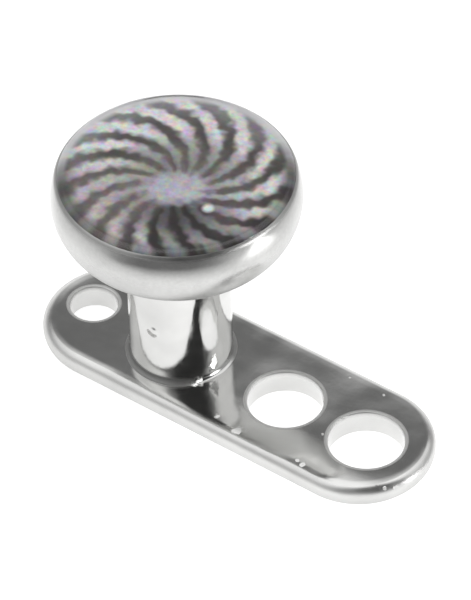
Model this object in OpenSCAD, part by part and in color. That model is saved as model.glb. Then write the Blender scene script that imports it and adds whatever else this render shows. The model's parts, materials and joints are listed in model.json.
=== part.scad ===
// Dermal anchor, shown unworn: a foot plate with three holes, a riser post,
// and a screwed disc top that holds a print under a low dome of clear resin.
// Millimetres. The origin is on the plate's underside, on the post's axis.
// +Z runs up the post and +X runs towards the long toe of the plate.

/* [Foot plate] */
// Distance from the post's axis to the tip of the long toe
toe_reach = 4.8; // [4.7:0.05:5.4]
// Distance from the post's axis to the tip of the short heel
heel_reach = 2.55; // [2.5:0.05:3.2]
// Width of the plate
plate_w = 2.5; // [2.3:0.05:2.6]
// Thickness of the plate
plate_t = 0.45; // [0.45:0.05:0.6]
// Radius of the plate's upper edge
plate_top_edge_r = 0.15; // [0.1:0.01:0.17]
// Radius of the plate's lower edge
plate_low_edge_r = 0.27; // [0.15:0.01:0.28]

/* [Holes] */
// Diameter of the two holes in the toe
toe_hole_d = 1.25; // [1.0:0.05:1.3]
// Distance from the post's axis to the inner toe hole
toe_hole_inner_x = 2.1; // [1.9:0.05:2.2]
// Distance between the centres of the two toe holes
toe_hole_pitch = 1.6; // [1.5:0.05:1.7]
// Diameter of the heel's hole
heel_hole_d = 0.8; // [0.7:0.05:0.95]
// Distance from the post's axis to the heel's hole
heel_hole_x = 1.8; // [1.7:0.05:1.9]
// Radius of the polished edge around each hole
hole_edge_r = 0.03; // [0.02:0.01:0.08]

/* [Post] */
// Diameter of the riser post, close to 14 gauge
post_d = 1.7; // [1.5:0.05:1.8]
// Height of the post above the plate's top
post_h = 2.43; // [1.8:0.01:3.2]
// Radius of the blend between the post and the plate
post_fillet_r = 0.08; // [0.06:0.01:0.15]
// Radius of the post's rounded top edge
post_top_r = 0.08; // [0.05:0.01:0.12]

/* [Disc top] */
// Diameter of the disc at its widest
disc_d = 4.05; // [4.0:0.05:5.0]
// Radius of the cup's rounded side
cup_side_r = 0.98; // [0.9:0.01:0.98]
// Slope in degrees at which the cup's side turns over into the lip
lip_start = 22; // [18:1:24]
// Radius of the rounded lip
lip_edge_r = 0.15; // [0.12:0.01:0.2]
// Distance from the disc's widest circle in to the recess for the print
lip_inset = 0.11; // [0.08:0.01:0.14]
// Depth of the cup's recess below the lip
recess_h = 0.22; // [0.18:0.01:0.24]
// Thickness of the printed insert
print_t = 0.06; // [0.05:0.01:0.08]
// Height of the dome's crown above the lip
dome_rise = 0.14; // [0.12:0.01:0.3]
// Radius of the dome's shoulder, where the resin turns down to the lip
dome_shoulder_r = 0.14; // [0.1:0.01:0.16]

/* [Stem] */
// Diameter of the stem that holds the disc in the post
stem_d = 0.9; // [0.8:0.05:1.0]
// Length of the stem below the cup
stem_len = 1.6; // [1.2:0.1:1.7]

/* [Hidden] */
$fn = 96;
// Space left between pieces that lie on each other
gap = 0.01;
// Space around the stem, and below it in the bore
stem_gap = 0.02;
stem_end_gap = 0.1;
// How far an arc crosses the one that it carries on from, so that the two join cleanly
arc_overlap = 0.0002;
// How far a cutter runs past the face that it cuts
over = 0.5;

plate_end_r = plate_w / 2;
toe_end_x = toe_reach - plate_end_r;
heel_end_x = plate_end_r - heel_reach;
toe_hole_outer_x = toe_hole_inner_x + toe_hole_pitch;

post_r = post_d / 2;
post_top_z = plate_t + post_h;
bore_r = stem_d / 2 + stem_gap;
bore_bottom_z = post_top_z - stem_len - stem_end_gap;

cup_bottom_z = post_top_z + gap;
cup_wide_z = cup_bottom_z + cup_side_r;
cup_side_x = disc_d / 2 - cup_side_r;
// The lip's arc carries on from the side's arc, and the recess cuts it off
lip_reach = cup_side_r - lip_edge_r + arc_overlap;
lip_x = cup_side_x + lip_reach * cos(lip_start);
lip_arc_z = cup_wide_z + lip_reach * sin(lip_start);
recess_r = disc_d / 2 - lip_inset;
lip_z = lip_arc_z + sqrt(pow(lip_edge_r, 2) - pow(recess_r - lip_x, 2));
recess_z = lip_z - recess_h;

print_r = recess_r - gap;
print_z = recess_z + gap;
dome_z = print_z + print_t + gap;
dome_top_z = lip_z + dome_rise;
// The crown's large arc runs on into the shoulder's arc. That one starts at the lip,
// where the resin's surface turns in by this angle from upright.
lip_turn = 30;
shoulder_x = print_r - dome_shoulder_r * cos(lip_turn);
shoulder_z = lip_z - dome_shoulder_r * sin(lip_turn);
crown_rise = dome_top_z - shoulder_z;
shoulder_reach = dome_shoulder_r - arc_overlap;
crown_r = (pow(shoulder_x, 2) + pow(crown_rise, 2) - pow(shoulder_reach, 2))
    / (2 * (crown_rise - shoulder_reach));
crown_z = dome_top_z - crown_r;
crown_half_angle = atan2(shoulder_x, shoulder_z - crown_z);

// Half of the plate's section at one of its round ends, from the end's centre outwards
module plate_half_section() {
    top_x = plate_end_r - plate_top_edge_r;
    low_x = plate_end_r - plate_low_edge_r;
    top_z = plate_t - plate_top_edge_r;
    translate([top_x, top_z]) circle(plate_top_edge_r);
    intersection() {
        translate([low_x, plate_low_edge_r]) circle(plate_low_edge_r);
        translate([0, -over]) square([plate_w, top_z + over]);
    }
    polygon([
        [0, 0], [low_x, 0], [plate_end_r, plate_low_edge_r],
        [plate_end_r, top_z], [top_x, plate_t], [0, plate_t]
    ]);
}

// A round end of the plate, on the +X side of its centre
module plate_end() {
    rotate([0, 0, -90]) rotate_extrude(angle = 180) plate_half_section();
}

// The straight stretch of the plate between its round ends
module plate_middle() {
    translate([heel_end_x, 0, 0])
        rotate([90, 0, 90])
            linear_extrude(toe_end_x - heel_end_x) {
                plate_half_section();
                mirror([1, 0]) plate_half_section();
            }
}

module plate_body() {
    translate([toe_end_x, 0, 0]) plate_end();
    translate([heel_end_x, 0, 0]) mirror([1, 0, 0]) plate_end();
    plate_middle();
}

// The rounded edge of a hole, as a ring that flares out at the plate's top face
module hole_flare(hole_r) {
    rotate_extrude()
        difference() {
            square([hole_r + hole_edge_r, hole_edge_r]);
            translate([hole_r + hole_edge_r, 0]) circle(hole_edge_r, $fn = 48);
        }
}

// What a hole of the plate takes away, with both of its edges rounded
module plate_hole(x, d) {
    translate([x, 0, 0]) {
        translate([0, 0, -over]) cylinder(d = d, h = plate_t + 2 * over);
        translate([0, 0, plate_t - hole_edge_r]) hole_flare(d / 2);
        translate([0, 0, hole_edge_r]) mirror([0, 0, 1]) hole_flare(d / 2);
    }
}

// The post with its blend to the plate and its rounded top edge
module post_body() {
    root_z = plate_t / 2;
    rotate_extrude() {
        translate([0, root_z]) square([post_r, post_top_z - root_z - post_top_r]);
        translate([0, root_z]) square([post_r - post_top_r, post_top_z - root_z]);
        translate([post_r - post_top_r, post_top_z - post_top_r]) circle(post_top_r, $fn = 48);
        difference() {
            translate([0, plate_t]) square([post_r + post_fillet_r, post_fillet_r]);
            translate([post_r + post_fillet_r, plate_t + post_fillet_r]) circle(post_fillet_r, $fn = 64);
        }
    }
}

// Foot plate and riser post, one machined piece
module anchor_base() {
    color("silver")
        difference() {
            union() {
                plate_body();
                post_body();
            }
            plate_hole(toe_hole_inner_x, toe_hole_d);
            plate_hole(toe_hole_outer_x, toe_hole_d);
            plate_hole(-heel_hole_x, heel_hole_d);
            translate([0, 0, bore_bottom_z]) cylinder(r = bore_r, h = post_top_z - bore_bottom_z + over);
        }
}

// Half of the cup's section without its recess: the rounded side, the lip's arc and the core
module cup_half_section() {
    intersection() {
        translate([cup_side_x, cup_wide_z]) circle(cup_side_r);
        polygon([
            [cup_side_x, cup_bottom_z], [disc_d, cup_bottom_z],
            [disc_d, cup_wide_z + (disc_d - cup_side_x) * tan(lip_start)], [cup_side_x, cup_wide_z]
        ]);
    }
    translate([lip_x, lip_arc_z]) circle(lip_edge_r);
    polygon([[0, cup_bottom_z], [cup_side_x, cup_bottom_z], [lip_x, lip_arc_z], [0, lip_arc_z]]);
}

// Cup of the disc top, with the stem that holds it in the post
module disc_cup() {
    color("gainsboro")
        rotate_extrude() {
            difference() {
                cup_half_section();
                translate([0, recess_z]) square([recess_r, recess_h + over]);
            }
            translate([0, cup_bottom_z - stem_len]) square([stem_d / 2, stem_len + over]);
        }
}

// Printed insert that lies in the cup
module picture_disc() {
    color("dimgray") translate([0, 0, print_z]) cylinder(r = print_r, h = print_t);
}

// Half of the dome's section: the crown's arc, the shoulder's arc and the body below them
module dome_half_section() {
    intersection() {
        translate([0, crown_z]) circle(crown_r, $fn = 2400);
        polygon([
            [0, dome_z],
            [shoulder_x, dome_z],
            [shoulder_x, shoulder_z],
            [shoulder_x + sin(crown_half_angle), shoulder_z + cos(crown_half_angle)],
            [0, shoulder_z + cos(crown_half_angle)]
        ]);
    }
    translate([shoulder_x, shoulder_z]) circle(dome_shoulder_r);
    translate([0, dome_z]) square([disc_d, shoulder_z - dome_z]);
}

// Low dome of clear resin over the print
module clear_dome() {
    color([0.92, 0.93, 0.95, 0.4])
        rotate_extrude()
            intersection() {
                dome_half_section();
                translate([0, dome_z]) square([print_r, dome_top_z - dome_z + over]);
            }
}

anchor_base();
disc_cup();
picture_disc();
clear_dome();
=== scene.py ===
"""Dermal anchor with a picture disc top, standing on its foot plate on a white studio floor.

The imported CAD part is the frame. Its four nodes are replaced by finer meshes of the same size,
so that the polished steel reflects without facets. Lengths are in metres. The origin is on the
plate's underside on the post's axis, +Z runs up the post and +X towards the plate's long toe.
Materials work in millimetres.
"""
import json
import math

import bpy
from mathutils import Matrix, Vector
from mathutils.geometry import delaunay_2d_cdt


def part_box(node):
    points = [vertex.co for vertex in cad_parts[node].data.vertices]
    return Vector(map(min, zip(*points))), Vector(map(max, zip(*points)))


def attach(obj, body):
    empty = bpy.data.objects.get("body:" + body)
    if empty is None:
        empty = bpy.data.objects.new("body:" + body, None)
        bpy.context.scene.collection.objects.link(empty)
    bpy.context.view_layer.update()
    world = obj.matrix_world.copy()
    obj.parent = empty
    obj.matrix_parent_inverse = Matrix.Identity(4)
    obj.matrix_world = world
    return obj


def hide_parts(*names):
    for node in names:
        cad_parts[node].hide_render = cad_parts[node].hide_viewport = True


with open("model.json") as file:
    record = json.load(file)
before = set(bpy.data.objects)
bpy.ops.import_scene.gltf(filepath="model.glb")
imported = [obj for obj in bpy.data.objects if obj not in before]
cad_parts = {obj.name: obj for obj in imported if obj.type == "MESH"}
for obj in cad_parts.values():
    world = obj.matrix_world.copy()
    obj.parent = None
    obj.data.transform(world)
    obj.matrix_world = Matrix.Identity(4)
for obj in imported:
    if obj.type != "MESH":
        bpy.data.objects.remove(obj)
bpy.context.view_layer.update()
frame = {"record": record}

MM = 0.001
UP = Vector((0, 0, 1))

# Sizes read from the frame
MOUNTS = {m["name"]: m for m in frame["record"]["mounts"]}
BASE_LOW, BASE_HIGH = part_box("anchor_base")
CUP_LOW, CUP_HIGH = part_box("disc_cup")
PRINT_LOW, PRINT_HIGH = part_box("picture_disc")
DOME_LOW, DOME_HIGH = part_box("clear_dome")
HOLES = [
    (MOUNTS[name]["pos_m"][0], MOUNTS[name]["dims"]["r_mm"] * MM)
    for name in ("toe_hole_inner", "toe_hole_outer", "heel_hole")
]
# A hole's mount lies halfway up the plate
PLATE_T = 2 * MOUNTS["toe_hole_inner"]["pos_m"][2]
PLATE_END_R = BASE_HIGH[1]
TOE_END_X = BASE_HIGH[0] - PLATE_END_R
HEEL_END_X = BASE_LOW[0] + PLATE_END_R
POST_TOP_Z = BASE_HIGH[2]
LIP_Z = CUP_HIGH[2]
DISC_R = CUP_HIGH[0]
STEM_BOTTOM_Z = CUP_LOW[2]
PRINT_R = PRINT_HIGH[0]

# Sizes that the part's source names and the frame doesn't hold
PLATE_TOP_EDGE_R = 0.15 * MM
PLATE_LOW_EDGE_R = 0.27 * MM
HOLE_EDGE_R = 0.03 * MM
POST_R = 0.85 * MM
POST_FILLET_R = 0.08 * MM
POST_TOP_R = 0.08 * MM
POST_FOOT_R = POST_R + POST_FILLET_R
BORE_R = 0.47 * MM
BORE_BOTTOM_Z = STEM_BOTTOM_Z - 0.09 * MM
STEM_R = 0.45 * MM
GAP = 0.01 * MM
CUP_SIDE_R = 0.98 * MM
CUP_BOTTOM_Z = POST_TOP_Z + GAP
CUP_WIDE_Z = CUP_BOTTOM_Z + CUP_SIDE_R
LIP_START = math.radians(22)
LIP_EDGE_R = 0.15 * MM
RECESS_Z = PRINT_LOW[2] - GAP
DOME_SHOULDER_R = 0.14 * MM
# How far the resin's surface turns in from upright where it starts at the lip
LIP_TURN = math.radians(30)

# Steps round a full circle, and along one straight side of the plate
ROUND_STEPS = 160
STRAIGHT_STEPS = 24

# Small round dents in the foot and post: place, radius and depth in millimetres. One with a
# depth below zero stands proud.
BASE_DENTS = [
    ((0.08, -0.84, 1.52), 0.14, -0.034),
    ((3.35, 1.00, 0.45), 0.03, 0.006),
    ((2.66, 1.02, 0.45), 0.03, 0.005),
    ((3.05, -0.30, 0.45), 0.03, 0.005),
]
# Directions as degrees to the right of the camera's side, and degrees up. A facet that faces one
# of the glints mirrors the lamp or the soft light on the right.
LAMP_GLINT = (39, 31)
SOFT_GLINT = (56, 64)
# The ways that the plate's top points, in its middle and near its front edge
LEVEL = (0, 90)
FRONT_LEVEL = (-37, 77)
# Nicks with one flat face: place and radius in millimetres, how far their height counts
# in that radius, and the ways that the metal there and the flat face point
BASE_NICKS = [
    ((0.82, -0.20, 0.72), 0.13, 0.7, (35, 0), LAMP_GLINT),
    ((0.75, -0.49, 0.48), 0.10, 1.0, (23, 45), LAMP_GLINT),
    ((0.68, -0.58, 0.45), 0.08, 1.0, (23, 80), LAMP_GLINT),
    ((1.42, -0.95, 0.45), 0.06, 1.0, LEVEL, SOFT_GLINT),
    ((1.87, -1.04, 0.44), 0.11, 1.0, FRONT_LEVEL, SOFT_GLINT),
    ((3.06, -1.01, 0.44), 0.04, 1.0, FRONT_LEVEL, SOFT_GLINT),
    ((3.18, -1.05, 0.44), 0.06, 1.0, FRONT_LEVEL, SOFT_GLINT),
    ((4.36, -0.78, 0.40), 0.05, 1.0, (16, 50), LAMP_GLINT),
    ((4.44, -0.73, 0.40), 0.06, 1.0, (18, 50), LAMP_GLINT),
    ((4.52, -0.68, 0.40), 0.05, 1.0, (22, 50), LAMP_GLINT),
    ((4.66, -0.55, 0.38), 0.07, 1.0, (30, 50), LAMP_GLINT),
    ((1.50, 0.16, 0.44), 0.05, 1.0, LEVEL, SOFT_GLINT),
    ((3.10, 0.20, 0.44), 0.05, 1.0, LEVEL, SOFT_GLINT),
]

# Steel reflects blue slightly less than red and green
STEEL_TINT = (1, 1, 0.985)

# The print, with painted shade, painted reflections and painted highlights on it. Places are millimetres
# from the disc's axis.
RAY_COUNT = 16
RAY_CENTRE = Vector((0.2, -0.2, 0))
# The rays are printed three times, slightly apart: shift, and share of the ink
RAY_COPIES = [((0.038, 0.024, 0), 0.2126), ((0, 0, 0), 0.7152), ((-0.044, 0.024, 0), 0.0722)]
HAZE_CENTRE = (0.19, -0.24, 0)
# Painted highlights, white spots that stand for glints on the resin: place, and the radii where one is
# full and where it ends
PAINTED_HIGHLIGHTS = [((0.86, -0.32, 0), 0.04, 0.13), ((-1.06, 1.56, 0), 0.02, 0.07)]
PALE_WARM = (0.97, 0.95, 0.87, 1)
PALE_COOL = (0.90, 0.94, 0.97, 1)
PALE_LILAC = (0.90, 0.82, 0.94, 1)
INK = (0.080, 0.066, 0.064, 1)
INK_MIDDLE = (0.155, 0.130, 0.128, 1)
INK_DEEP = (0.028, 0.020, 0.021, 1)
INK_FADED = (0.15, 0.13, 0.13, 1)
VEIL = (0.34, 0.30, 0.30, 1)
HAZE = (0.60, 0.58, 0.67, 1)
# Dark border on the print's rim: part print ink, part painted shade from the resin's edge
BORDER_INK_AND_SHADE = (0.07, 0.066, 0.064, 1)
DEEP_BORDER_INK_AND_SHADE = (0.03, 0.026, 0.026, 1)
# Painted reflection: pale haze of light on the resin's far edge
REFLECTION_HALO = (0.74, 0.75, 0.80, 1)
# White of the painted highlights
HIGHLIGHT_WHITE = (0.95, 0.95, 0.95, 1)
# Painted reflection: white light on the resin's far edge
FAR_EDGE_REFLECTION = (0.95, 0.95, 0.97, 1)

# The photograph's camera, and the height of its frame where the part stands
CAMERA_AZIMUTH = math.radians(36.79)
CAMERA_ELEVATION = math.radians(43.97)
CAMERA_ROLL = math.radians(1.16)
CAMERA_DISTANCE = 82.061 * MM
FRAME_H = 9.8474 * MM
# Where the plate's top at the post's axis lies in the picture, from its centre
AXIS_RIGHT = -0.8879 * MM
AXIS_UP = -0.773 * MM
SENSOR_H = 36.0

# Soft lights of the studio, as light from the sky: azimuth and elevation of the middle, the angles
# from it where the light is full and where it ends, all in degrees, and the strength
STUDIO_LIGHTS = {
    "left soft light": (-90, 57, 20, 46, 0.85),
    "right soft light": (104, 53, 18, 38, 0.9),
    "fill between camera and left": (-50, 44, 12, 32, 0.2),
    "low fill on the left": (-63, 4, 10, 34, 0.16),
    "overhead light": (0, 90, 8, 42, 0.34),
    "small light behind": (-176, 31, 3, 12, 0.14),
    "low light behind": (180, -6, 20, 50, 0.7),
    "lamp": (67, 9, 6, 12, 8.0),
}
# What the camera and its stand keep dark, in the same form. Its strength is the share taken away.
CAMERA_SHADE = (18, 32, 24, 50, 0.8)

FLOOR_HALF = 1.0
# Just below the plate, so that the two faces don't meet
FLOOR_Z = -0.004 * MM


class Skin:
    """A mesh built ring by ring, with the true surface normal kept at each face corner."""

    def __init__(self):
        self.points = []
        self.faces = []
        self.normals = []

    def ring(self, points):
        """Adds points and returns their indices."""
        start = len(self.points)
        self.points.extend(points)
        return list(range(start, len(self.points)))

    def face(self, corners, normals):
        """Adds a face, turned so that it looks the way that its normals point."""
        a, b, c = (self.points[i] for i in corners[:3])
        if (b - a).cross(c - a).dot(normals[0] + normals[1] + normals[2]) < 0:
            corners = corners[::-1]
            normals = normals[::-1]
        self.faces.append(corners)
        self.normals.extend(normals)

    def band(self, ring_a, ring_b, normals_a, normals_b):
        """Joins two rings of the same length."""
        count = len(ring_a)
        for i in range(count):
            j = (i + 1) % count
            self.face(
                [ring_a[i], ring_a[j], ring_b[j], ring_b[i]],
                [normals_a[i], normals_a[j], normals_b[j], normals_b[i]],
            )

    def cap(self, ring, centre, normal):
        """Closes a ring with triangles to its centre."""
        middle = self.ring([centre])[0]
        for i, a in enumerate(ring):
            b = ring[(i + 1) % len(ring)]
            self.face([a, b, middle], [normal] * 3)

    def flat(self, rings, keep, normal):
        """Fills the flat region between rings. keep says whether a point is in it."""
        corners, edges, index = [], [], []
        for ring in rings:
            start = len(corners)
            corners.extend(self.points[i].to_2d() for i in ring)
            index.extend(ring)
            count = len(ring)
            edges.extend((start + i, start + (i + 1) % count) for i in range(count))
        _, _, triangles, origin, _, _ = delaunay_2d_cdt(corners, edges, [], 0, 1e-9)
        for triangle in triangles:
            centre = sum((corners[origin[i][0]] for i in triangle), Vector((0, 0))) / 3
            if keep(centre):
                self.face([index[origin[i][0]] for i in triangle], [normal] * 3)

    def build(self, name, material):
        """Makes the Blender object."""
        mesh = bpy.data.meshes.new(name)
        mesh.from_pydata([tuple(p) for p in self.points], [], self.faces)
        mesh.polygons.foreach_set("use_smooth", [True] * len(mesh.polygons))
        mesh.normals_split_custom_set([tuple(n.normalized()) for n in self.normals])
        mesh.materials.append(material)
        piece = bpy.data.objects.new(name, mesh)
        bpy.context.scene.collection.objects.link(piece)
        return piece


def plan_way(angle):
    """The level direction at an angle in degrees from +X towards +Y."""
    a = math.radians(angle)
    return Vector((math.cos(a), math.sin(a), 0))


CIRCLE = [plan_way(360 * i / ROUND_STEPS) for i in range(ROUND_STEPS)]


def arc(centre_r, centre_z, radius, start, end, steps, side=1):
    """Points of a section's arc as (r, z, normal r, normal z). side -1 turns the normal inwards."""
    points = []
    for i in range(steps + 1):
        a = math.radians(start + (end - start) * i / steps)
        c, s = math.cos(a), math.sin(a)
        points.append((centre_r + radius * c, centre_z + radius * s, side * c, side * s))
    return points


def line(r0, z0, r1, z1, normal_r, normal_z, steps=1):
    """Points of a section's straight stretch, in the same form as arc's."""
    points = []
    for i in range(steps + 1):
        t = i / steps
        points.append((r0 + (r1 - r0) * t, z0 + (z1 - z0) * t, normal_r, normal_z))
    return points


def sweep(skin, strips, outline):
    """Bands along a section. outline(r) gives the points at r, and directions their outward ways.
    Strips that meet share their ring. Returns the first and the last ring."""
    first = last = None
    for strip in strips:
        previous = None
        for r, z, normal_r, normal_z in strip:
            points, directions = outline(r)
            normals = [d * normal_r + UP * normal_z for d in directions]
            if previous is None and last is not None:
                ring = last
            else:
                ring = skin.ring([p + UP * z for p in points])
            if previous is not None:
                skin.band(previous[0], ring, previous[1], normals)
            if first is None:
                first = ring
            previous = (ring, normals)
        last = previous[0]
    return first, last


def round_outline(centre_x=0.0):
    """Circles round an upright axis at (centre_x, 0)."""
    centre = Vector((centre_x, 0, 0))
    return lambda r: ([centre + d * r for d in CIRCLE], CIRCLE)


def stadium_outline():
    """The plate's outline, offset by r from the line between the centres of its ends."""
    half = ROUND_STEPS // 2
    directions, centres = [], []
    for end_x, other_x, start in ((TOE_END_X, HEEL_END_X, -90), (HEEL_END_X, TOE_END_X, 90)):
        for i in range(half + 1):
            directions.append(plan_way(start + 180 * i / half))
            centres.append(Vector((end_x, 0, 0)))
        for i in range(1, STRAIGHT_STEPS):
            directions.append(plan_way(start + 180))
            centres.append(Vector((end_x + (other_x - end_x) * i / STRAIGHT_STEPS, 0, 0)))
    return lambda r: ([c + d * r for c, d in zip(centres, directions)], directions)


def in_plate(point, inset):
    """Whether a flat point lies in the plate's outline, inset from its edge."""
    x = min(max(point.x, HEEL_END_X), TOE_END_X)
    return math.hypot(point.x - x, point.y) < PLATE_END_R - inset


def clear_of_holes(point):
    """Whether a flat point lies outside the holes and their rounded edges."""
    return all(math.hypot(point.x - x, point.y) > r + HOLE_EDGE_R for x, r in HOLES)


def sky_direction(azimuth, elevation):
    """A direction by degrees to the right of the camera's side, and degrees up."""
    turn = CAMERA_AZIMUTH + math.radians(azimuth)
    up = math.radians(elevation)
    return Vector((math.sin(turn) * math.cos(up), -math.cos(turn) * math.cos(up), math.sin(up)))


# Pieces


def add_plate_rim(skin):
    """The plate's rounded rim. Returns its rings on the top and on the underside."""
    top_core = PLATE_END_R - PLATE_TOP_EDGE_R
    low_core = PLATE_END_R - PLATE_LOW_EDGE_R
    strips = [
        arc(top_core, PLATE_T - PLATE_TOP_EDGE_R, PLATE_TOP_EDGE_R, 90, 0, 20),
        line(PLATE_END_R, PLATE_T - PLATE_TOP_EDGE_R, PLATE_END_R, PLATE_LOW_EDGE_R, 1, 0, 2),
        arc(low_core, PLATE_LOW_EDGE_R, PLATE_LOW_EDGE_R, 0, -90, 20),
    ]
    return sweep(skin, strips, stadium_outline())


def add_hole_wall(skin, x, r):
    """A hole's wall with its rounded edges. Returns its rings on the top and on the underside."""
    wall_r = r + HOLE_EDGE_R
    strips = [
        arc(wall_r, PLATE_T - HOLE_EDGE_R, HOLE_EDGE_R, 90, 180, 8),
        line(r, PLATE_T - HOLE_EDGE_R, r, HOLE_EDGE_R, -1, 0, 4),
        arc(wall_r, HOLE_EDGE_R, HOLE_EDGE_R, 180, 270, 8),
    ]
    return sweep(skin, strips, round_outline(x))


def add_post(skin):
    """The post with its blend to the plate and its bore. Returns its ring on the plate's top."""
    strips = [
        arc(POST_FOOT_R, PLATE_T + POST_FILLET_R, POST_FILLET_R, 270, 180, 16, -1),
        line(POST_R, PLATE_T + POST_FILLET_R, POST_R, POST_TOP_Z - POST_TOP_R, 1, 0, 12),
        arc(POST_R - POST_TOP_R, POST_TOP_Z - POST_TOP_R, POST_TOP_R, 0, 90, 8),
        line(POST_R - POST_TOP_R, POST_TOP_Z, BORE_R, POST_TOP_Z, 0, 1),
        line(BORE_R, POST_TOP_Z, BORE_R, BORE_BOTTOM_Z, -1, 0, 2),
    ]
    foot, bore_end = sweep(skin, strips, round_outline())
    skin.cap(bore_end, Vector((0, 0, BORE_BOTTOM_Z)), UP)
    return foot


def make_anchor_base(material):
    """Foot plate and post, one piece."""
    skin = Skin()
    rims = [add_plate_rim(skin)] + [add_hole_wall(skin, x, r) for x, r in HOLES]
    top_rings = [top for top, _ in rims] + [add_post(skin)]
    bottom_rings = [bottom for _, bottom in rims]

    def on_top(p):
        return clear_of_holes(p) and in_plate(p, PLATE_TOP_EDGE_R) and math.hypot(p.x, p.y) > POST_FOOT_R

    def on_bottom(p):
        return clear_of_holes(p) and in_plate(p, PLATE_LOW_EDGE_R)

    skin.flat(top_rings, on_top, UP)
    skin.flat(bottom_rings, on_bottom, -UP)
    return skin.build("steel_foot_and_post", material)


def make_disc_cup(material):
    """Cup of the disc with its stem. The recess is closed up to the resin, so that no dark line
    shows between them."""
    skin = Skin()
    side_x = DISC_R - CUP_SIDE_R
    lip_reach = CUP_SIDE_R - LIP_EDGE_R
    lip_x = side_x + lip_reach * math.cos(LIP_START)
    lip_z = CUP_WIDE_Z + lip_reach * math.sin(LIP_START)
    lip_start = math.degrees(LIP_START)
    recess_r = PRINT_R + 0.1 * GAP
    lip_end = math.degrees(math.acos((recess_r - lip_x) / LIP_EDGE_R))
    strips = [
        line(STEM_R, STEM_BOTTOM_Z, STEM_R, CUP_BOTTOM_Z, 1, 0, 4),
        line(STEM_R, CUP_BOTTOM_Z, side_x, CUP_BOTTOM_Z, 0, -1, 4),
        arc(side_x, CUP_WIDE_Z, CUP_SIDE_R, -90, lip_start, 48),
        arc(lip_x, lip_z, LIP_EDGE_R, lip_start, lip_end, 10),
        line(recess_r, LIP_Z, recess_r, RECESS_Z, -1, 0, 2),
    ]
    stem_end, recess_end = sweep(skin, strips, round_outline())
    skin.cap(stem_end, Vector((0, 0, STEM_BOTTOM_Z)), -UP)
    skin.cap(recess_end, Vector((0, 0, RECESS_Z)), UP)
    return skin.build("steel_disc_cup", material)


def make_print(material):
    """The thin round insert."""
    skin = Skin()
    low, high = PRINT_LOW[2], PRINT_HIGH[2]
    edge = line(PRINT_R, low, PRINT_R, high, 1, 0)
    bottom, top = sweep(skin, [edge], round_outline())
    skin.cap(bottom, Vector((0, 0, low)), -UP)
    skin.cap(top, Vector((0, 0, high)), UP)
    return skin.build("printed_insert", material)


def make_dome(material, bonded, edge):
    """Low dome of resin: a flat crown arc that runs on into a small shoulder arc. Its underside and
    its edge in the cup have materials of their own."""
    skin = Skin()
    low, high = DOME_LOW[2], DOME_HIGH[2]
    shoulder_x = PRINT_R - DOME_SHOULDER_R * math.cos(LIP_TURN)
    shoulder_z = LIP_Z - DOME_SHOULDER_R * math.sin(LIP_TURN)
    rise = high - shoulder_z
    crown_r = (shoulder_x ** 2 + rise ** 2 - DOME_SHOULDER_R ** 2) / (2 * (rise - DOME_SHOULDER_R))
    crown_z = high - crown_r
    tangent = math.degrees(math.atan2(shoulder_z - crown_z, shoulder_x))
    strips = [
        line(PRINT_R, low, PRINT_R, LIP_Z, 1, 0),
        arc(shoulder_x, shoulder_z, DOME_SHOULDER_R, math.degrees(LIP_TURN), tangent, 16),
        arc(0, crown_z, crown_r, tangent, 90, 24)[:-1],
    ]
    bottom, top = sweep(skin, strips, round_outline())
    skin.cap(bottom, Vector((0, 0, low)), -UP)
    skin.cap(top, Vector((0, 0, high)), UP)
    dome = skin.build("resin_dome", material)
    dome.data.materials.append(bonded)
    dome.data.materials.append(edge)
    # The underside looks down, and the edge looks sideways
    for face in dome.data.polygons:
        if face.normal.z < -0.5:
            face.material_index = 1
        elif face.normal.z < 0.1:
            face.material_index = 2
    return dome


# Materials


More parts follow.
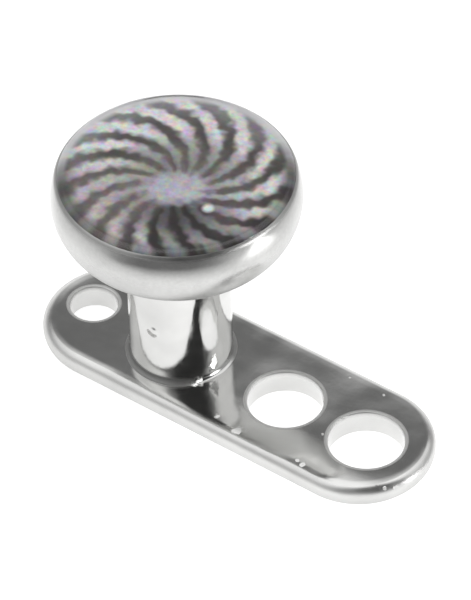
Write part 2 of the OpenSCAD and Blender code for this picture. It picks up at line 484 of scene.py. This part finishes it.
class Graph:
    """Short calls for adding and wiring the nodes of a material or world."""

    def __init__(self, owner):
        owner.use_nodes = True
        self.owner = owner
        self.tree = owner.node_tree
        self.tree.nodes.clear()

    def node(self, kind, inputs=(), **settings):
        """Adds a node. Each input is linked if it is given as a socket, and set otherwise."""
        node = self.tree.nodes.new(kind)
        for key, value in settings.items():
            setattr(node, key, value)
        for key, value in dict(inputs).items():
            if isinstance(value, bpy.types.NodeSocket):
                self.tree.links.new(value, node.inputs[key])
            else:
                node.inputs[key].default_value = value
        return node

    def close(self, shader, output="ShaderNodeOutputMaterial"):
        """Wires the shader to the output. Returns the material or world."""
        self.tree.links.new(shader.outputs[0], self.node(output).inputs["Surface"])
        return self.owner

    def math(self, operation, a, b=0.0, c=0.0):
        return self.node("ShaderNodeMath", {0: a, 1: b, 2: c}, operation=operation).outputs[0]

    def total(self, *values):
        result = values[0]
        for value in values[1:]:
            result = self.math("ADD", result, value)
        return result

    def product(self, *values):
        result = values[0]
        for value in values[1:]:
            result = self.math("MULTIPLY", result, value)
        return result

    def less(self, mask, amount=1.0):
        """1 where the mask is 0, and less by the amount where it is 1."""
        return self.math("MULTIPLY_ADD", mask, -amount, 1.0)

    def smooth(self, value, low, high, out_low=0.0, out_high=1.0):
        inputs = {"Value": value, "From Min": low, "From Max": high, "To Min": out_low, "To Max": out_high}
        return self.node("ShaderNodeMapRange", inputs, interpolation_type="SMOOTHSTEP").outputs[0]

    def fade(self, value, full, gone):
        """1 up to full, then smoothly down to 0 at gone."""
        return self.smooth(value, full, gone, 1.0, 0.0)

    def vector(self, operation, a, b=(0, 0, 0)):
        node = self.node("ShaderNodeVectorMath", {0: a, 1: b}, operation=operation)
        single = operation in ("DOT_PRODUCT", "LENGTH", "DISTANCE")
        return node.outputs["Value"] if single else node.outputs[0]

    def part(self, vector, axis):
        return self.node("ShaderNodeSeparateXYZ", {0: vector}).outputs[axis]

    def joined(self, x, y=0.0, z=0.0):
        return self.node("ShaderNodeCombineXYZ", {0: x, 1: y, 2: z}).outputs[0]

    def along(self, vector, way):
        """How far a vector reaches along a direction."""
        return self.vector("DOT_PRODUCT", vector, tuple(way))

    def facing(self, vector, way, low, high):
        """How far a vector points along a direction: 0 at the cosine low, 1 at the cosine high."""
        return self.smooth(self.along(self.vector("NORMALIZE", vector), way), low, high)

    def grey(self, level):
        return self.node("ShaderNodeCombineColor", {0: level, 1: level, 2: level}).outputs[0]

    def mix(self, factor, a, b, blend="MIX"):
        """Mixes two colours. They are the node's sockets 6 and 7, and the result is its socket 2."""
        inputs = {0: factor, 6: a, 7: b}
        return self.node("ShaderNodeMix", inputs, data_type="RGBA", blend_type=blend).outputs[2]

    def noise(self, coordinates, scale, detail=2.0, roughness=0.5, output="Fac"):
        inputs = {"Vector": coordinates, "Scale": scale, "Detail": detail, "Roughness": roughness}
        return self.node("ShaderNodeTexNoise", inputs).outputs[output]

    def object_mm(self):
        """The surface point in millimetres in the row frame."""
        place = self.node("ShaderNodeTexCoord").outputs["Object"]
        return self.node("ShaderNodeVectorMath", {0: place, "Scale": 1 / MM}, operation="SCALE").outputs[0]

    def plan(self, place):
        """A place without its height."""
        return self.vector("MULTIPLY", place, (1, 1, 0))


def finish_steel(g, level, roughness, relief, tilt=None):
    """Closes a steel material. level is the reflectance, relief the height in millimetres, and
    tilt what is added to the normal."""
    normal = g.node("ShaderNodeBump", {"Height": relief, "Strength": 1.0, "Distance": MM}).outputs[0]
    if tilt is not None:
        kinds = {"vector_type": "VECTOR", "convert_from": "OBJECT", "convert_to": "WORLD"}
        tilt = g.node("ShaderNodeVectorTransform", {0: tilt}, **kinds).outputs[0]
        normal = g.vector("NORMALIZE", g.vector("ADD", normal, tilt))
    colour = g.vector("MULTIPLY", g.grey(level), STEEL_TINT)
    inputs = {"Base Color": colour, "Roughness": roughness, "Normal": normal, "Metallic": 1.0}
    return g.close(g.node("ShaderNodeBsdfPrincipled", inputs))


def dents_relief(g, place):
    """The relief of the small smooth dents."""
    return g.total(
        *(
            g.product(g.fade(g.vector("DISTANCE", place, spot), 0.1 * radius, radius), -depth)
            for spot, radius, depth in BASE_DENTS
        )
    )


def nicks_tilt(g, place):
    """How the nicks turn the normal, and where they lie."""
    ragged = g.math("SUBTRACT", g.noise(place, 13.0, 1.0), 0.5)
    tilt, masks = (0, 0, 0), []
    for spot, radius, squeeze, level_way, facet_way in BASE_NICKS:
        turn = sky_direction(*facet_way) - sky_direction(*level_way)
        apart = g.vector("MULTIPLY", g.vector("SUBTRACT", place, spot), (1, 1, squeeze))
        reach = g.math("MULTIPLY_ADD", ragged, 1.8 * radius, g.vector("LENGTH", apart))
        mask = g.fade(reach, 0.3 * radius, radius)
        inputs = {0: mask, 1: tuple(turn), 2: tilt}
        tilt = g.node("ShaderNodeVectorMath", inputs, operation="MULTIPLY_ADD").outputs[0]
        masks.append(mask)
    return tilt, g.total(*masks)


def foot_crease(g, place, above):
    """Where the blend at the post's foot lies, apart from its side towards the lamp. It dulls the crease
    and carries painted shade there.
    """
    plan = g.plan(place)
    # How far the point lies from the crease's middle line, in the post's section
    section = g.joined(g.vector("LENGTH", plan), 0.0, above)
    gap = g.vector("DISTANCE", section, (POST_R / MM + 0.03, 0, 0.03))
    lamp_side = g.facing(plan, plan_way(-14), 0.8, 0.95)
    return g.product(g.fade(gap, 0.05, 0.13), g.smooth(above, 0.0, 0.002), g.less(lamp_side))


def hole_edges(g, place, above):
    """Where the rounded edges of the holes lie on the plate's top."""
    edges = []
    for x, r in HOLES:
        from_wall = g.math("SUBTRACT", g.vector("DISTANCE", g.plan(place), (x / MM, 0, 0)), r / MM)
        edges.append(g.fade(g.math("ABSOLUTE", g.math("SUBTRACT", from_wall, 0.01)), 0.02, 0.07))
    return g.product(g.total(*edges), g.smooth(above, -0.12, -0.03))


def across_plate(g, place):
    """How far out a point lies, from 0 on the line between the plate's ends to 1 at its edge."""
    middle = (TOE_END_X + HEEL_END_X) / 2 / MM
    half = (TOE_END_X - HEEL_END_X) / 2 / MM
    from_middle = g.math("ABSOLUTE", g.math("SUBTRACT", g.part(place, 0), middle))
    past_end = g.math("MAXIMUM", g.math("SUBTRACT", from_middle, half), 0.0)
    spread = g.joined(past_end, g.part(place, 1))
    return g.math("DIVIDE", g.vector("LENGTH", spread), PLATE_END_R / MM)


def plate_relief(g, place, across, on_plate):
    """The slight slopes that hand polishing left on the plate, as a height."""
    x, y = g.part(place, 0), g.part(place, 1)
    # The top falls off towards its rim, less so behind
    less_behind = g.smooth(y, 0.2, 0.9, 1.0, 0.3)
    pillow = g.product(g.math("POWER", across, 4.0), -0.03, on_plate, less_behind)
    shoulder = g.product(g.smooth(across, 0.8, 1.0, 0.0, -0.02), less_behind)
    # It also falls off along the toe's front edge, and rises slightly towards the toe's tip
    forward = g.math("MAXIMUM", g.math("SUBTRACT", -0.25, y), 0.0)
    forward = g.math("SMOOTH_MIN", forward, 0.84, 0.16)
    front = g.product(g.math("POWER", forward, 2.0), g.smooth(x, 1.5, 3.4, 0.0, -0.13), on_plate)
    toe = g.product(g.smooth(x, 0.4, 5.4, 0.0, 0.16), on_plate)
    return g.total(pillow, shoulder, front, toe)


def make_base_steel():
    """Mirror-polished foot and post. The crease at the post's foot, the holes' edges, the rim and the
    nicks are duller. The crease and the lower part of the rim also have painted shade: their reflectance
    is lower."""
    g = Graph(bpy.data.materials.new("mirror_steel"))
    place = g.object_mm()
    height = g.part(place, 2)
    above = g.math("SUBTRACT", height, PLATE_T / MM)
    on_plate = g.fade(above, 0.02, 0.1)
    on_post = g.smooth(above, 0.05, 0.3)
    across = across_plate(g, place)
    crease = foot_crease(g, place, above)
    tilt, in_nick = nicks_tilt(g, place)

    # Painted shade along the lower part of the plate's rim, next to the floor
    shaded_low_rim = g.product(g.smooth(across, 0.9, 1.0), g.fade(height, 0.14, 0.34))
    cloud = g.smooth(g.noise(place, 1.4, 3.0), 0.3, 0.7, 0.63, 0.69)
    # Painted shade: the reflectance is halved in the crease at the post's foot, and a little lower on the
    # lower rim
    level = g.product(cloud, g.less(crease, 0.5), g.less(shaded_low_rim, 0.13))
    roughness = g.total(
        g.smooth(g.noise(place, 5.0, 4.0), 0.3, 0.75, 0.1, 0.15),
        g.product(crease, 0.45),
        g.product(hole_edges(g, place, above), 0.4),
        g.product(g.smooth(across, 0.85, 0.97), 0.26),
        g.product(in_nick, 0.16),
    )

    tooling = g.noise(g.vector("MULTIPLY", place, (1, 1, 0.3)), 3.5, 2.0)
    relief = g.total(
        plate_relief(g, place, across, on_plate),
        g.product(g.noise(place, 1.1, 1.0), 0.025),
        g.product(tooling, on_post, 0.012),
        g.product(g.noise(place, 9.0, 2.0), 0.0006),
        dents_relief(g, place),
    )
    return finish_steel(g, level, roughness, relief, tilt)


def make_cup_steel():
    """Satin steel of the disc's cup, duller at the lip. Painted shade makes it darker at the lip and
    slightly darker underneath.
    """
    g = Graph(bpy.data.materials.new("soft_steel"))
    place = g.object_mm()
    height = g.math("SUBTRACT", g.part(place, 2), CUP_WIDE_Z / MM)
    grain = g.noise(place, 16.0, 2.0)
    cloud = g.smooth(g.noise(place, 1.7, 3.0), 0.3, 0.7, 0.53, 0.57)
    level = g.product(
        g.math("MULTIPLY_ADD", grain, 0.1, cloud),
        # Painted shade: slightly darker under the cup
        g.smooth(height, -0.6, 0.0, 0.92, 1.0),
        # Painted shade: darker at the lip
        g.smooth(height, 0.3, 0.4, 1.0, 0.75),
    )
    roughness = g.total(
        g.smooth(g.noise(place, 4.0, 3.0), 0.3, 0.75, 0.0, 0.06),
        g.smooth(height, -0.5, 0.2, 0.38, 0.13),
        g.smooth(height, 0.33, 0.4, 0.0, 0.22),
    )
    relief = g.total(g.product(grain, 0.0005), g.product(g.noise(place, 1.3, 1.0), 0.011))
    return finish_steel(g, level, roughness, relief)


def ray_pattern(g, place, fine):
    """The curved rays: 0 in the dark ones and 1 in the pale ones, with wavy edges."""
    broad = g.noise(place, 2.2, 1.0)
    jitter = g.math("SUBTRACT", g.math("MULTIPLY_ADD", fine, 2.7, g.product(broad, 2.4)), 2.55)
    copies = []
    for shift, share in RAY_COPIES:
        moved = g.vector("SUBTRACT", place, tuple(RAY_CENTRE + Vector(shift)))
        radius = g.vector("LENGTH", moved)
        angle = g.math("ARCTAN2", g.part(moved, 1), g.part(moved, 0))
        bend = g.math("MULTIPLY_ADD", radius, 0.147, 0.135)
        turn = g.math("MULTIPLY_ADD", radius, bend, 0.132)
        phase = g.math("MULTIPLY_ADD", g.math("SUBTRACT", angle, turn), float(RAY_COUNT), jitter)
        copies.append(g.product(g.smooth(g.math("COSINE", phase), -0.83, 0.96), share))
    return g.total(*copies)


def ray_colour(g, place, pattern):
    """The rays in inks and pale tones that change round their centre and away from it."""
    moved = g.vector("SUBTRACT", place, tuple(RAY_CENTRE))
    radius = g.vector("LENGTH", moved)

    def side(angle, low, high):
        """How far a point lies towards an angle in degrees, seen from the rays' centre."""
        return g.facing(moved, plan_way(angle), low, high)

    pale = g.mix(g.smooth(g.noise(place, 1.5, 2.0), 0.4, 0.6), PALE_WARM, PALE_COOL)
    pale = g.mix(g.smooth(g.noise(place, 2.6, 1.0), 0.5, 0.68), pale, PALE_LILAC)
    lift = g.product(
        g.smooth(radius, 0.4, 1.6, 0.45, 1.0),
        g.less(g.product(side(290, 0.5, 1.0), g.fade(radius, 0.75, 1.3)), 0.6),
        g.less(side(320, 0.6, 0.95), 0.55),
        g.less(g.product(side(112, 0.1, 0.8), g.fade(radius, 1.0, 1.35)), 0.3),
    )
    pale = g.mix(1.0, pale, g.grey(lift), "MULTIPLY")

    ink = g.mix(g.smooth(radius, 0.6, 1.3), INK_MIDDLE, INK)
    ink = g.mix(side(305, -0.2, 0.8), ink, INK_DEEP)
    ink = g.mix(g.product(side(18, 0.6, 0.95), g.fade(radius, 1.1, 1.5), 0.7), ink, INK_FADED)
    return g.mix(g.product(side(232, 0.6, 1.0), 0.45), g.mix(pattern, ink, pale), VEIL)


def add_haze(g, place, fine, colour):
    """The oval haze over the rays' centre. It is longest along the picture's width."""
    from_haze = g.vector("SUBTRACT", place, HAZE_CENTRE)
    length = g.product(g.along(from_haze, plan_way(36.87)), 0.85)
    width = g.product(g.along(from_haze, plan_way(126.87)), 1.25)
    reach = g.vector("LENGTH", g.joined(length, width))
    return g.mix(g.smooth(g.math("MULTIPLY_ADD", fine, 0.3, reach), 0.42, 0.75), HAZE, colour)


def add_border_and_painted_light(g, place, colour):
    """A dark border in front, part print ink and part painted shade from the resin's edge; a pale halo at
    the back, which is a painted reflection; and white painted highlights.
    """
    rim = g.vector("LENGTH", place)
    back = g.facing(place, plan_way(130), 0.0, 0.6)
    # Dark border in front and at the sides, left out at the back: part print ink, part painted shade
    border = g.mix(g.facing(place, plan_way(330), -0.3, 0.7), BORDER_INK_AND_SHADE, DEEP_BORDER_INK_AND_SHADE)
    colour = g.mix(g.product(g.smooth(rim, 1.54, 1.83), g.less(back), 0.88), colour, border)
    # Painted reflection: a pale halo towards the back rim
    colour = g.mix(g.product(g.smooth(rim, 1.2, 1.86), back, 0.32), colour, REFLECTION_HALO)
    # Painted highlights: white spots for glints on the resin
    for spot, full, gone in PAINTED_HIGHLIGHTS:
        colour = g.mix(g.fade(g.vector("DISTANCE", place, spot), full, gone), colour, HIGHLIGHT_WHITE)
    return colour


def coloured_dots(g, place):
    """Coarse printed dots, as a factor for each of the colour's channels."""
    dots = g.noise(place, 7.0, 3.0, 0.65, "Color")
    spread = g.node("ShaderNodeMapRange", {"Vector": dots}, data_type="FLOAT_VECTOR")
    for socket, value in (("From Min", 0.3), ("From Max", 0.7), ("To Min", 0.72), ("To Max", 1.28)):
        spread.inputs[socket].default_value = (value, value, value)
    return spread.outputs["Vector"]


def make_print_material():
    """Curved dark and pale rays that turn about a hazy centre, printed in coarse coloured dots. Painted
    shade, painted reflections and painted highlights are laid over them.
    """
    g = Graph(bpy.data.materials.new("swirl_print"))
    place = g.plan(g.object_mm())
    fine = g.noise(place, 6.0, 0.5)
    colour = ray_colour(g, place, ray_pattern(g, place, fine))
    colour = add_haze(g, place, fine, colour)
    colour = add_border_and_painted_light(g, place, colour)
    colour = g.vector("MULTIPLY", colour, coloured_dots(g, place))
    # Painted reflection: the outermost ring on the far side turns white, as light on the resin's far edge
    outermost = g.smooth(g.vector("LENGTH", place), 1.73, 1.88)
    far_edge_reflection = g.product(outermost, g.facing(place, plan_way(130), -0.08, 0.38), 0.9)
    colour = g.mix(far_edge_reflection, colour, FAR_EDGE_REFLECTION)
    return g.close(g.node("ShaderNodeBsdfPrincipled", {"Base Color": colour, "Roughness": 0.45}))


def make_resin():
    """Clear resin. Light from the lamps passes it straight, and only what is seen is bent."""
    g = Graph(bpy.data.materials.new("clear_resin"))
    ripple = g.noise(g.object_mm(), 1.2, 1.0)
    bump = g.node("ShaderNodeBump", {"Height": ripple, "Strength": 0.3, "Distance": 0.01 * MM}).outputs[0]
    glass = g.node("ShaderNodeBsdfGlass", {"Normal": bump, "Roughness": 0.02, "IOR": 1.5})
    clear = g.node("ShaderNodeBsdfTransparent", {"Color": (0.97, 0.97, 0.97, 1)})
    path = g.node("ShaderNodeLightPath")
    passing = g.math("MAXIMUM", path.outputs["Is Shadow Ray"], path.outputs["Is Diffuse Ray"])
    return g.close(g.node("ShaderNodeMixShader", {0: passing, 1: glass.outputs[0], 2: clear.outputs[0]}))


def make_bonded_resin():
    """The resin's face that is bonded to the print, which nothing reflects from."""
    g = Graph(bpy.data.materials.new("bonded_resin"))
    return g.close(g.node("ShaderNodeBsdfTransparent", {"Color": (1, 1, 1, 1)}))


def make_milky_edge():
    """The resin's edge in the cup, clouded where it is bonded to the metal. It is painted paler at the
    back, as a reflection of light.
    """
    g = Graph(bpy.data.materials.new("milky_edge"))
    place = g.object_mm()
    # Painted reflection: paler towards the back
    away = g.facing(g.plan(place), plan_way(125), -0.4, 0.6)
    cloud = g.smooth(g.noise(place, 1.6, 2.0), 0.3, 0.7, 0.42, 0.54)
    colour = g.grey(g.math("MULTIPLY_ADD", away, 0.42, cloud))
    return g.close(g.node("ShaderNodeBsdfPrincipled", {"Base Color": colour, "Roughness": 0.6}))


def make_floor_material():
    """White floor lit from below like a light table, brightest round the part."""
    g = Graph(bpy.data.materials.new("white_floor"))
    place = g.object_mm()

    def reach(azimuth):
        """How far a point lies from the post's axis towards an azimuth."""
        return g.along(place, sky_direction(azimuth, 0))

    # Outside an oval round the part the glow falls off, fastest in front
    towards = reach(0)
    oval = g.joined(g.math("DIVIDE", g.math("ADD", towards, 2.0), 7.5), g.math("DIVIDE", reach(90), 6.0))
    far = g.math("MAXIMUM", g.vector("LENGTH", oval), 1.0)
    front = g.facing(place, sky_direction(-8, 0), 0.5, 0.95)
    steep = g.math("MULTIPLY_ADD", front, -0.32, -0.42)
    least = g.math("MULTIPLY_ADD", front, -0.3, 0.3)
    glow = g.math("MULTIPLY_ADD", g.math("LOGARITHM", far, math.e), steep, 0.84)
    # Painted shade: the glow is dimmed in front, and the floor's colour is darker far out in front, where
    # the camera's shade falls; the cup mirrors this darker patch
    left_front = g.facing(place, sky_direction(-20, 0), 0.4, 0.9)
    dim = g.product(g.smooth(towards, 6.2, 9.5, 0.0, -0.18), left_front)
    glow = g.math("MAXIMUM", g.total(g.math("MAXIMUM", glow, least), dim), least)
    # Painted shade: the floor's colour is darker far out in front
    base = g.math("MULTIPLY_ADD", g.product(front, g.smooth(far, 1.3, 2.6)), -0.25, 0.5)
    # A bright streak on the right gives the metal its highlight, and a pool of light lies round the toe
    streak = g.product(
        g.smooth(reach(67), 6.0, 14.0, 0.0, 1.8),
        g.fade(g.math("ABSOLUTE", reach(157)), 1.0, 4.0),
    )
    pool = g.product(g.fade(g.vector("DISTANCE", place, (3.0, 0, 0)), 1.5, 5.0), 0.15)
    inputs = {
        "Base Color": g.grey(base),
        "Roughness": 0.9,
        "Emission Color": (1, 1, 1, 1),
        "Emission Strength": g.total(glow, streak, pool),
    }
    return g.close(g.node("ShaderNodeBsdfPrincipled", inputs))


# Stage


def make_studio():
    """Soft light from the whole sky, brighter towards the horizon, with the studio's lights in it."""
    world = bpy.data.worlds.new("studio")
    bpy.context.scene.world = world
    g = Graph(world)
    way = g.node("ShaderNodeTexCoord").outputs["Generated"]

    def lobe(azimuth, elevation, inner, outer, strength):
        facing = g.along(way, sky_direction(azimuth, elevation))
        full, gone = math.cos(math.radians(inner)), math.cos(math.radians(outer))
        return g.smooth(facing, gone, full, 0.0, strength)

    lights = [lobe(*light) for light in STUDIO_LIGHTS.values()]
    level = g.total(g.smooth(g.part(way, 2), 0.05, 0.45, 0.5, 0.19), *lights)
    level = g.product(level, g.less(lobe(*CAMERA_SHADE)))
    sky = g.node("ShaderNodeBackground", {"Color": (1, 1, 1, 1), "Strength": level})
    g.close(sky, "ShaderNodeOutputWorld")


def make_floor():
    """A wide white floor, which isn't part of the object."""
    mesh = bpy.data.meshes.new("floor")
    corners = [
        (-FLOOR_HALF, -FLOOR_HALF, FLOOR_Z),
        (FLOOR_HALF, -FLOOR_HALF, FLOOR_Z),
        (FLOOR_HALF, FLOOR_HALF, FLOOR_Z),
        (-FLOOR_HALF, FLOOR_HALF, FLOOR_Z),
    ]
    mesh.from_pydata(corners, [], [(0, 1, 2, 3)])
    mesh.materials.append(make_floor_material())
    floor = bpy.data.objects.new("floor", mesh)
    bpy.context.scene.collection.objects.link(floor)


def make_camera():
    """The photograph's camera, aimed so that the plate's top at the post's axis lies in its place."""
    side = plan_way(math.degrees(CAMERA_AZIMUTH))
    back = sky_direction(0, math.degrees(CAMERA_ELEVATION))
    up = back.cross(side)
    c, s = math.cos(CAMERA_ROLL), math.sin(CAMERA_ROLL)
    right = side * c - up * s
    top = side * s + up * c
    axis_top = Vector((0, 0, PLATE_T))
    place = axis_top - right * AXIS_RIGHT - top * AXIS_UP + back * CAMERA_DISTANCE

    data = bpy.data.cameras.new("camera")
    data.sensor_fit = "VERTICAL"
    data.sensor_height = SENSOR_H
    data.lens = SENSOR_H * CAMERA_DISTANCE / FRAME_H
    data.clip_start = 0.005
    data.clip_end = 10.0
    camera = bpy.data.objects.new("camera", data)
    turn = Matrix((right, top, back)).transposed().to_4x4()
    camera.matrix_world = Matrix.Translation(place) @ turn
    bpy.context.scene.collection.objects.link(camera)
    bpy.context.scene.camera = camera


def finish_piece(piece, node):
    """Puts a piece in the place of a CAD node."""
    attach(piece, "root")
    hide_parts(node)


make_camera()
make_floor()
make_studio()
finish_piece(make_anchor_base(make_base_steel()), "anchor_base")
finish_piece(make_disc_cup(make_cup_steel()), "disc_cup")
finish_piece(make_print(make_print_material()), "picture_disc")
finish_piece(make_dome(make_resin(), make_bonded_resin(), make_milky_edge()), "clear_dome")
bpy.context.scene.view_settings.view_transform = "Standard"
